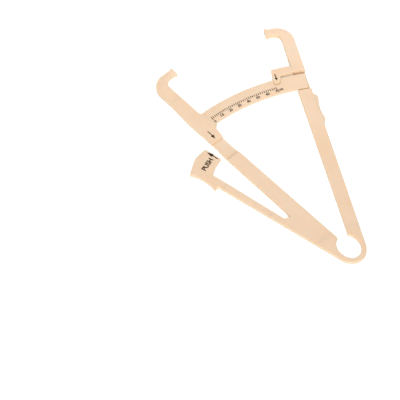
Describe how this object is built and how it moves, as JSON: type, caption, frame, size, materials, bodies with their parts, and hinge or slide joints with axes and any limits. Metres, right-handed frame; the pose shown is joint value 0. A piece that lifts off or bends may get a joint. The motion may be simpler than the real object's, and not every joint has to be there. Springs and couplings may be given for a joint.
{
  "type": "skinfold caliper",
  "caption": "Flat moulded skinfold caliper: two hooked arms on a spring loop, an arc scale bar, a pointer bracket and a sprung press lever.",
  "frame": {"origin": "middle of the outline's bounding box, on the flat back face that it lies on", "axes": "+Y from the spring loop to the jaws along the centre line, +X towards the moving arm, +Z out of the printed front face"},
  "size_m": [0.1192, 0.2056, 0.0039],
  "materials": {
    "plastic": "satin cream"
  },
  "bodies": {
    "fixed": {"spring_loop_fixed_half": "plastic", "fixed_arm": "plastic", "fixed_jaw": "plastic", "scale_bar": "plastic"},
    "moving": {"spring_loop_moving_half": "plastic", "moving_arm": "plastic", "finger_rest": "plastic", "pointer_bracket": "plastic", "moving_jaw": "plastic"},
    "lever": {"press_lever": "plastic", "press_paddle": "plastic"}
  },
  "joints": [
    {"name": "jaw_close", "type": "hinge", "parent": "fixed", "child": "moving", "pos_m": [0.00476, -0.08889, 0.0013], "axis": [0, 0, 1], "range_deg": [0, 21.2], "stiffness_Nm_per_rad": 1},
    {"name": "lever_press", "type": "hinge", "parent": "fixed", "child": "lever", "pos_m": [-0.02851, -0.04059, 0.0013], "axis": [0, 0, -1], "range_deg": [0, 10.6], "stiffness_Nm_per_rad": 0.6}
  ]
}
